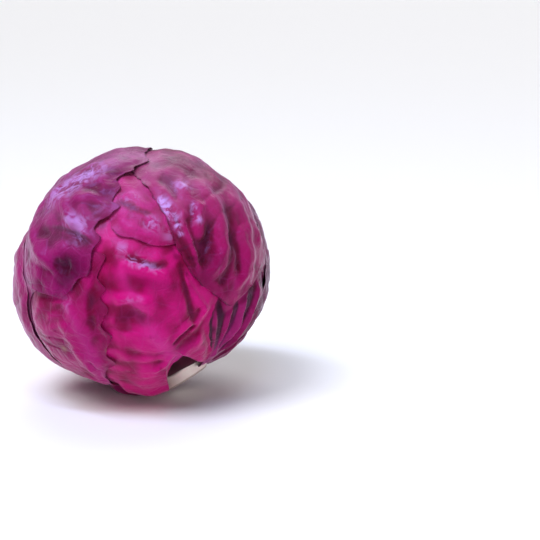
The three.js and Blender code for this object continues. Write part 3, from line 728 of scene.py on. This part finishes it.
def buildLeaf(index):
    leaf = leaves[index]
    seed = blade["seed"] + blade["seedStep"] * index
    side = leaf["side"]
    bpy.ops.mesh.primitive_grid_add(x_subdivisions=side, y_subdivisions=side, size=2)
    piece = bpy.context.object
    piece.name = leaf["node"] + "_blade"
    mesh = piece.data
    flat = vertexPlaces(mesh)
    out, turn = squareToDisc(flat[:, 0], flat[:, 1])
    rim = edgePoint(leaf["edgePlaces"], turn)
    nicks = sum(size * ripple(rim, wavelength, seed + 8 + i)
                for i, (size, wavelength) in enumerate(blade["nicks"]))
    reach = angleTo(rim, leaf["axis"]) + nicks / skinRadius
    angle = reach * out
    bearing = forwardBearing(leaf, turn)
    away = np.outer(np.cos(bearing), leaf["east"]) + np.outer(np.sin(bearing), leaf["north"])
    d = np.outer(np.cos(angle), leaf["axis"]) + np.sin(angle)[:, None] * away
    radius, marks = leafShape(index, d, seed)
    points = laid(d * radius[:, None])
    points[:, 2] = np.maximum(points[:, 2], 0)
    moveVertices(mesh, points)
    writeMarks(mesh, marks)
    thicken(piece, (1 - out) * reach * skinRadius)
    bpy.ops.object.shade_smooth_by_angle(angle=math.radians(blade["smoothAngle"]))
    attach(piece, "root")
    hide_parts(leaf["node"])
    print(piece.name, len(mesh.polygons), "faces")
    return piece


for leaf in leaves:
    prepareLeaf(leaf)
blades = [buildLeaf(index) for index in range(len(leaves))]
print("leaves done")

# The heart fills the inside, with a hollow behind the front leaf's lifted base.
heart = {
    "subdivisions": 6, "slack": 0.6,
    "hollow": (5, 32), "hollowDepth": 9.0, "hollowWidth": 17.0,
}


def buildHeart():
    bpy.ops.mesh.primitive_ico_sphere_add(subdivisions=heart["subdivisions"], radius=1)
    piece = bpy.context.object
    piece.name = "heart_leaves"
    d = vertexPlaces(piece.data)
    d = d / np.linalg.norm(d, axis=1, keepdims=True)
    radius = pressed(innerRadius(d), d, sum(climb(leaf, d) for leaf in leaves))
    hollow = bumpAt(d, *heart["hollow"], heart["hollowWidth"])
    radius = radius - heart["slack"] - heart["hollowDepth"] * hollow
    moveVertices(piece.data, laid(d * radius[:, None]))
    bpy.ops.object.shade_smooth()
    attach(piece, "root")
    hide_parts("heart")
    return piece


heartPiece = buildHeart()
print("heart done")

# A tapering core, a shoulder that the leaf bases grow from, and a stump cut flat on a slant.
stem = {
    "profile": [      # (radius, height) from the inner end to the middle of the cut face
        (0, -12), (5, -12), (10, -30), (15, -48), (17.5, -54), (19.5, -58), (16.5, -61),
        (14.4, -64), (13.6, -69), (13.1, -69.6), (12.6, -70), (0, -70),
    ],
    "segments": 120, "rings": 90,
    "stumpStart": 61.0,       # depths are from the middle of the head
    "cutSlope": 0.16,
    "paleDepth": 63.0, "paleWave": 1.2, "paleBlend": 2.0,
    "ringReach": 15,
    "bruiseRadius": 11.6, "bruiseWidth": 1.4,
    "bruiseDepth": 68.6, "bruiseHeight": 0.8,
    "smoothAngle": 45,
}


def buildStem():
    bpy.ops.mesh.primitive_uv_sphere_add(
        segments=stem["segments"], ring_count=stem["rings"], radius=1)
    piece = bpy.context.object
    piece.name = "cut_stem"
    ball = vertexPlaces(piece.data)
    share = np.arccos(np.clip(ball[:, 2], -1, 1)) / np.pi
    bearing = np.arctan2(ball[:, 1], ball[:, 0])
    profile = np.array(stem["profile"], float)
    runs = np.linalg.norm(np.diff(profile, axis=0), axis=1)
    lengths = np.concatenate([[0], np.cumsum(runs)])
    wide = np.interp(share, lengths / lengths[-1], profile[:, 0])
    high = np.interp(share, lengths / lengths[-1], profile[:, 1])
    points = np.stack([wide * np.cos(bearing), wide * np.sin(bearing), high], axis=1)
    points[:, 2] += np.where(high < -stem["stumpStart"], stem["cutSlope"] * points[:, 0], 0)
    moveVertices(piece.data, laid(points))
    atEdge = smoothStep((wide - stem["bruiseRadius"]) / stem["bruiseWidth"])
    atFace = smoothStep((-high - stem["bruiseDepth"]) / stem["bruiseHeight"])
    paleDepth = stem["paleDepth"] + stem["paleWave"] * np.sin(3 * bearing + 1)
    writeMarks(piece.data, {
        "ring": wide / stem["ringReach"],
        "bruise": atEdge * atFace,
        "above": smoothStep((high + paleDepth) / stem["paleBlend"]),
    })
    bpy.ops.object.shade_smooth_by_angle(angle=math.radians(stem["smoothAngle"]))
    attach(piece, "root")
    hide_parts("stem")
    return piece


stemPiece = buildStem()
print("stem done")


# Material tools. Heights that groups put out are in millimetres, colours are linear.
def newGroup(name, inputs, outputs):
    tree = bpy.data.node_groups.new(name, "ShaderNodeTree")
    kinds = {"colour": "NodeSocketColor", "value": "NodeSocketFloat"}
    for label, kind in inputs:
        tree.interface.new_socket(label, in_out="INPUT", socket_type=kinds[kind])
    for label, kind in outputs:
        tree.interface.new_socket(label, in_out="OUTPUT", socket_type=kinds[kind])
    return tree, tree.nodes.new("NodeGroupInput"), tree.nodes.new("NodeGroupOutput")


def newMaterial(name):
    material = bpy.data.materials.new(name)
    material.use_nodes = True
    return material, material.node_tree, material.node_tree.nodes["Principled BSDF"]


def feed(tree, socket, value):
    if isinstance(value, bpy.types.NodeSocket):
        tree.links.new(value, socket)
    else:
        socket.default_value = value


def addNode(tree, kind, inputs=None, **settings):
    node = tree.nodes.new("ShaderNode" + kind)
    for key, value in settings.items():
        setattr(node, key, value)
    for key, value in (inputs or {}).items():
        feed(tree, node.inputs[key], value)
    return node


def calculate(tree, operation, *values):
    return addNode(tree, "Math", dict(enumerate(values)), operation=operation).outputs[0]


def mark(tree, name):
    return addNode(tree, "Attribute", attribute_name=name).outputs["Fac"]


# 0 to 1 as a value goes from the first to the second number of a span.
def ramp(tree, value, span):
    inputs = {"Value": value, "From Min": span[0], "From Max": span[1]}
    return addNode(tree, "MapRange", inputs, interpolation_type="SMOOTHSTEP").outputs["Result"]


def mixColour(tree, share, first, second, blend="MIX"):
    inputs = {"Fac": share, "Color1": first, "Color2": second}
    return addNode(tree, "MixRGB", inputs, blend_type=blend).outputs["Color"]


# Lays a coat over a colour, as thick as the product of its shares.
def coated(tree, colour, coat, share, *others):
    for other in others:
        share = calculate(tree, "MULTIPLY", share, other)
    return mixColour(tree, share, colour, coat)


def objectNoise(tree, scale, detail=2.0, distortion=0.0):
    place = addNode(tree, "TexCoord").outputs["Object"]
    inputs = {"Vector": place, "Scale": scale, "Detail": detail, "Distortion": distortion}
    return addNode(tree, "TexNoise", inputs).outputs["Fac"]


def addBump(tree, shader, height, distance, strength):
    bump = addNode(tree, "Bump", {"Height": height, "Distance": distance, "Strength": strength})
    tree.links.new(bump.outputs["Normal"], shader.inputs["Normal"])


# Fine veins: a net of cells that is warped a little. Lines are 1 on a vein.
veinNet = {
    "wide": (95.0, 0.09), "narrow": (270.0, 0.11), "narrowShare": 0.45,  # scale, line width
    "warp": 0.004, "warpScale": 60.0,
    "patchScale": 28.0, "patchSpan": (0.35, 0.65), "patchShare": 0.7,
    "lineHeight": -0.22,
    "grain": (240.0, 3.0), "grainHeight": 0.35,      # scale, detail
    "swell": (70.0, 2.0, 0.6), "swellHeight": 0.6,   # scale, detail, distortion
}


def buildVeinGroup():
    tree, _, made = newGroup("leafVeinNet", [], [("Lines", "value"), ("Height", "value")])
    place = addNode(tree, "TexCoord").outputs["Object"]
    inputs = {"Vector": place, "Scale": veinNet["warpScale"], "Detail": 2.0}
    wander = addNode(tree, "TexNoise", inputs).outputs["Color"]
    inputs = {0: wander, 1: (veinNet["warp"],) * 3}
    wander = addNode(tree, "VectorMath", inputs, operation="MULTIPLY").outputs[0]
    warped = addNode(tree, "VectorMath", {0: place, 1: wander}, operation="ADD").outputs[0]
    lines = []
    for scale, width in (veinNet["wide"], veinNet["narrow"]):
        inputs = {"Vector": warped, "Scale": scale}
        cells = addNode(tree, "TexVoronoi", inputs, feature="DISTANCE_TO_EDGE")
        lines.append(ramp(tree, cells.outputs["Distance"], (width, 0.0)))
    patch = ramp(tree, objectNoise(tree, veinNet["patchScale"]), veinNet["patchSpan"])
    patchShare = veinNet["patchShare"]
    patch = calculate(tree, "MULTIPLY_ADD", patch, patchShare, 1 - patchShare)
    narrow = calculate(tree, "MULTIPLY", lines[1], veinNet["narrowShare"])
    both = calculate(tree, "MULTIPLY", calculate(tree, "MAXIMUM", lines[0], narrow), patch)
    tree.links.new(both, made.inputs["Lines"])
    grain = objectNoise(tree, *veinNet["grain"])
    grain = calculate(tree, "MULTIPLY", grain, veinNet["grainHeight"])
    height = calculate(tree, "MULTIPLY_ADD", both, veinNet["lineHeight"], grain)
    swell = objectNoise(tree, *veinNet["swell"])
    swell = calculate(tree, "MULTIPLY", swell, veinNet["swellHeight"])
    tree.links.new(calculate(tree, "ADD", height, swell), made.inputs["Height"])
    return tree


# Leaf colour: painted shade in the furrows and painted light on the bulges, painted shade and
# highlight spots, a pale coat above with painted sheen, and a dark rim with painted shadow.
# Tints: the shade multiplies into painted shade; the pale violet is for painted highlights; the
# pale lilac coat is partly waxy bloom and partly painted sheen; the rim's near-black is partly a
# dark edge and partly painted shadow; veins and dry patches are the leaf's own.
tint = {
    "bloomAndTopSheen": (0.52, 0.22, 0.44, 1), "rim": (0.05, 0.002, 0.018, 1), "vein": (0.50, 0.05, 0.30, 1),
    "shade": (0.42, 0.5, 0.42, 1), "highlightViolet": (0.52, 0.28, 0.68, 1), "dry": (0.26, 0.13, 0.09, 1),
}
# Noises are (scale, detail, distortion). A span is where a coat starts and where it is full, and a
# share is the most of it. The height of the pale coat, waxy bloom and painted sheen, is in metres.
skin = {
    "cloud": (34.0, 3.0, 0.5), "highlightSpeckle": (150.0, 3.0, 1.6), "gloss": (90.0, 3.0),
    "reliefGain": 2.8, "reliefLevel": -1.4, "litSpan": (0.05, 0.95),
    "furrowShadeSpan": (0.47, 0.0), "furrowShadeShare": 0.85,
    "bloomAndTopSheenHeight": (0.085, 0.150), "bloomAndTopSheenCloud": (0.2, 0.8), "bloomAndTopSheenShare": 0.34,
    "veinShare": 0.10, "ribShare": 0.30,
    "shadeSpotsSpan": (0.5, 1.0), "shadeSpotsShare": 0.75, "shadeSpotsCloud": 0.8, "shadeSpotsLeast": 0.6,
    "highlightSpotsSpan": (0.5, 0.1), "highlightSpotsShare": 0.95, "highlightSpeckleSpan": (0.38, 0.64),
    "darkRimAndShadowSpan": (0.92, 1.0), "darkRimAndShadowCloud": (0.1, 0.8), "rimShare": 0.8,
    "roughnessLeast": 0.20, "roughnessRange": 0.20,
}


def buildLeafGroup(veinGroup):
    tree, given, made = newGroup(
        "leafColour", [("DeepShaded", "colour"), ("BulgeLit", "colour")],
        [("Color", "colour"), ("Roughness", "value"), ("Height", "value")])
    deep, bulge = given.outputs["DeepShaded"], given.outputs["BulgeLit"]
    fineVeins = addNode(tree, "Group", node_tree=veinGroup)
    cloud = objectNoise(tree, *skin["cloud"])
    surface = mark(tree, "relief")
    # The relief mark mixes the deep colour into the furrows and the bulge colour onto the bulges,
    # painted shade and painted light, with a random cloud of the leaf's own tone.
    lit = calculate(tree, "MULTIPLY_ADD", surface, skin["reliefGain"], skin["reliefLevel"])
    lit = calculate(tree, "ADD", lit, cloud)
    colour = mixColour(tree, ramp(tree, lit, skin["litSpan"]), deep, bulge)
    # The deep colour darkened further, and laid on the furrows: painted shade.
    paintedShadeColour = mixColour(tree, 1.0, deep, tint["shade"], "MULTIPLY")
    furrowShade = ramp(tree, surface, skin["furrowShadeSpan"])
    colour = coated(tree, colour, paintedShadeColour, furrowShade, skin["furrowShadeShare"])

    # Higher up, a pale lilac coat: partly the waxy bloom, partly painted sheen where the top
    # catches the light.
    place = addNode(tree, "TexCoord").outputs["Object"]
    height = addNode(tree, "SeparateXYZ", {0: place}).outputs["Z"]
    bloomAndTopSheen = ramp(tree, height, skin["bloomAndTopSheenHeight"])
    bloomAndTopSheenCloud = ramp(tree, cloud, skin["bloomAndTopSheenCloud"])
    colour = coated(tree, colour, tint["bloomAndTopSheen"], bloomAndTopSheen, bloomAndTopSheenCloud, skin["bloomAndTopSheenShare"])
    lines = fineVeins.outputs["Lines"]
    colour = coated(tree, colour, tint["vein"], lines, skin["veinShare"])
    colour = coated(tree, colour, tint["vein"], mark(tree, "rib"), skin["ribShare"])

    # Spots of painted shade in hollows and gaps, and pale violet painted highlights broken up by a
    # speckle.
    shadeAndHighlight = mark(tree, "shadeAndHighlight")
    soft = calculate(tree, "MULTIPLY_ADD", cloud, skin["shadeSpotsCloud"], skin["shadeSpotsLeast"])
    shadeSpots = ramp(tree, shadeAndHighlight, skin["shadeSpotsSpan"])
    colour = coated(tree, colour, paintedShadeColour, shadeSpots, skin["shadeSpotsShare"], soft)
    highlightSpeckle = ramp(tree, objectNoise(tree, *skin["highlightSpeckle"]), skin["highlightSpeckleSpan"])
    highlightSpots = ramp(tree, shadeAndHighlight, skin["highlightSpotsSpan"])
    colour = coated(tree, colour, tint["highlightViolet"], highlightSpots, skin["highlightSpotsShare"], highlightSpeckle)
    colour = coated(tree, colour, tint["dry"], mark(tree, "dry"))
    # A near-black rim: partly the leaf's dark edge, partly painted shadow under the edge.
    rim = ramp(tree, mark(tree, "rim"), skin["darkRimAndShadowSpan"])
    darkRimAndShadowCloud = ramp(tree, cloud, skin["darkRimAndShadowCloud"])
    colour = coated(tree, colour, tint["rim"], rim, darkRimAndShadowCloud, skin["rimShare"])
    tree.links.new(colour, made.inputs["Color"])

    gloss = objectNoise(tree, *skin["gloss"])
    rough = calculate(tree, "MULTIPLY_ADD", gloss, skin["roughnessRange"], skin["roughnessLeast"])
    tree.links.new(rough, made.inputs["Roughness"])
    tree.links.new(fineVeins.outputs["Height"], made.inputs["Height"])
    return tree


# The wax on the leaves, as values for the shader's own sockets.
wax = {
    "Specular IOR Level": 0.14, "Specular Tint": (0.35, 0.32, 1, 1),
    "Sheen Weight": 0.22, "Sheen Roughness": 0.45, "Sheen Tint": (1, 0.55, 0.9, 1),
}
leafBump = {"distance": 0.001, "strength": 0.7}


def leafMaterial(leaf, leafGroup):
    material, tree, shader = newMaterial(leaf["node"] + "_skin")
    paint = addNode(tree, "Group", node_tree=leafGroup)
    paint.inputs["DeepShaded"].default_value = (*leaf["deepShadedColour"], 1)
    paint.inputs["BulgeLit"].default_value = (*leaf["bulgeLitColour"], 1)
    tree.links.new(paint.outputs["Color"], shader.inputs["Base Color"])
    tree.links.new(paint.outputs["Roughness"], shader.inputs["Roughness"])
    addBump(tree, shader, paint.outputs["Height"], leafBump["distance"], leafBump["strength"])
    for name, value in wax.items():
        shader.inputs[name].default_value = value
    return material


# The heart is dark crimson, and seen only in the hollow at the stem.
heartPaint = {
    "deep": (0.018, 0.001, 0.004, 1), "light": (0.07, 0.003, 0.02, 1),
    "patches": (60.0, 3.0), "patchSpan": (0.3, 0.7),
    "roughness": 0.6, "specular": 0.15,
}


def heartMaterial():
    material, tree, shader = newMaterial("heart_skin")
    patches = ramp(tree, objectNoise(tree, *heartPaint["patches"]), heartPaint["patchSpan"])
    colour = mixColour(tree, patches, heartPaint["deep"], heartPaint["light"])
    tree.links.new(colour, shader.inputs["Base Color"])
    shader.inputs["Roughness"].default_value = heartPaint["roughness"]
    shader.inputs["Specular IOR Level"].default_value = heartPaint["specular"]
    return material


# The stem is cream where it was cut, with rings and a browned rim, and dark above the cut, partly
# its purple skin and partly painted shade of the hollow it rises into.
stemPaint = {
    "cut": (0.97, 0.86, 0.76, 1), "pink": (0.93, 0.72, 0.67, 1), "brown": (0.20, 0.10, 0.055, 1),
    "dark": (0.03, 0.002, 0.009, 1),
    "mottle": (160.0, 4.0), "mottleSpan": (0.35, 0.70),
    "ringTurns": 42.0, "ringShare": 0.18, "bruiseShare": 0.7,
    "grain": (420.0, 3.0), "bumpDistance": 0.0005, "bumpStrength": 0.6,
    "roughness": 0.55, "specular": 0.2,
}


def stemMaterial():
    material, tree, shader = newMaterial("stem_skin")
    mottle = ramp(tree, objectNoise(tree, *stemPaint["mottle"]), stemPaint["mottleSpan"])
    colour = mixColour(tree, mottle, stemPaint["cut"], stemPaint["pink"])
    rings = calculate(tree, "MULTIPLY", mark(tree, "ring"), stemPaint["ringTurns"])
    rings = calculate(tree, "MULTIPLY_ADD", calculate(tree, "SINE", rings), 0.5, 0.5)
    colour = coated(tree, colour, stemPaint["pink"], rings, stemPaint["ringShare"])
    bruise = mark(tree, "bruise")
    colour = coated(tree, colour, stemPaint["brown"], bruise, stemPaint["bruiseShare"])
    # Dark above the cut: partly the stem's purple skin, partly painted shade in the hollow.
    colour = coated(tree, colour, stemPaint["dark"], mark(tree, "above"))
    tree.links.new(colour, shader.inputs["Base Color"])
    grain = objectNoise(tree, *stemPaint["grain"])
    addBump(tree, shader, grain, stemPaint["bumpDistance"], stemPaint["bumpStrength"])
    shader.inputs["Roughness"].default_value = stemPaint["roughness"]
    shader.inputs["Specular IOR Level"].default_value = stemPaint["specular"]
    return material


leafGroup = buildLeafGroup(buildVeinGroup())
for leaf, piece in zip(leaves, blades):
    piece.data.materials.append(leafMaterial(leaf, leafGroup))
heartPiece.data.materials.append(heartMaterial())
stemPiece.data.materials.append(stemMaterial())
print("materials done")

# The floor and the light. Suns stand for far soft boxes: towards is the way to the light, spread
# its width in degrees. A long window overhead gives the bluish highlights.
studio = {
    "floorSize": 400,           # metres
    "floorColour": (0.95, 0.95, 0.95, 1),
    "floorRoughness": 0.6,
    "worldColour": (0.93, 0.95, 1, 1),
    "worldStrength": 0.2,
    "suns": [  # name, towards, strength, spread, colour
        ("keySun", (-0.45, -0.35, 0.85), 1.7, 30, (0.98, 0.98, 1)),
        ("fillSun", (0.3, -0.9, 0.12), 0.85, 40, (1, 0.98, 0.97)),
        ("backSun", (0.15, 0.75, 0.9), 1.2, 50, (1, 0.98, 1)),
    ],
    "window": {"place": (-0.25, -0.32, 1.1), "long": 1.2, "wide": 0.14, "power": 9,
               "colour": (0.6, 0.7, 1)},
}
# The camera faces the front, aimed past the head's right side, so the head stands at the left.
view = {
    "middle": (0.0, 0.0, 0.0738),
    "distance": 1.0,
    "elevation": 12.0,
    "aimRight": 0.0767,
    "aimUp": -0.0016,
    "lens": 111.1,
    "sensor": 36,
}


def addFloor():
    bpy.ops.mesh.primitive_plane_add(size=studio["floorSize"])
    piece = bpy.context.object
    piece.name = "floor"
    material, _, shader = newMaterial("floorWhite")
    shader.inputs["Base Color"].default_value = studio["floorColour"]
    shader.inputs["Roughness"].default_value = studio["floorRoughness"]
    piece.data.materials.append(material)


def setWorld():
    world = scene.world or bpy.data.worlds.new("world")
    scene.world = world
    world.use_nodes = True
    background = world.node_tree.nodes["Background"]
    background.inputs["Color"].default_value = studio["worldColour"]
    background.inputs["Strength"].default_value = studio["worldStrength"]


def addLight(kind, name, place, backwards, power, colour):
    bpy.ops.object.light_add(type=kind, location=place)
    light = bpy.context.object
    light.name = name
    light.data.energy = power
    light.data.color = colour
    light.rotation_euler = backwards.to_track_quat("Z", "Y").to_euler()
    return light.data


def addCamera():
    elevation = math.radians(view["elevation"])
    middle = Vector(view["middle"])
    eye = middle + view["distance"] * Vector((0, -math.cos(elevation), math.sin(elevation)))
    upAxis = Vector((0, math.sin(elevation), math.cos(elevation)))
    aim = middle + Vector((view["aimRight"], 0, 0)) + upAxis * view["aimUp"]
    bpy.ops.object.camera_add(location=eye)
    camera = bpy.context.object
    camera.rotation_euler = (aim - eye).to_track_quat("-Z", "Y").to_euler()
    camera.data.lens = view["lens"]
    camera.data.sensor_width = view["sensor"]
    scene.camera = camera


addFloor()
setWorld()
scene.view_settings.view_transform = "Standard"
for name, towards, strength, spread, colour in studio["suns"]:
    light = addLight("SUN", name, (0, 0, 2), Vector(towards), strength, colour)
    light.angle = math.radians(spread)
window = studio["window"]
windowBack = Vector(window["place"]) - Vector(view["middle"])
light = addLight("AREA", "window", window["place"], windowBack, window["power"], window["colour"])
light.shape = "RECTANGLE"
light.size = window["long"]
light.size_y = window["wide"]
addCamera()
print("stage done")
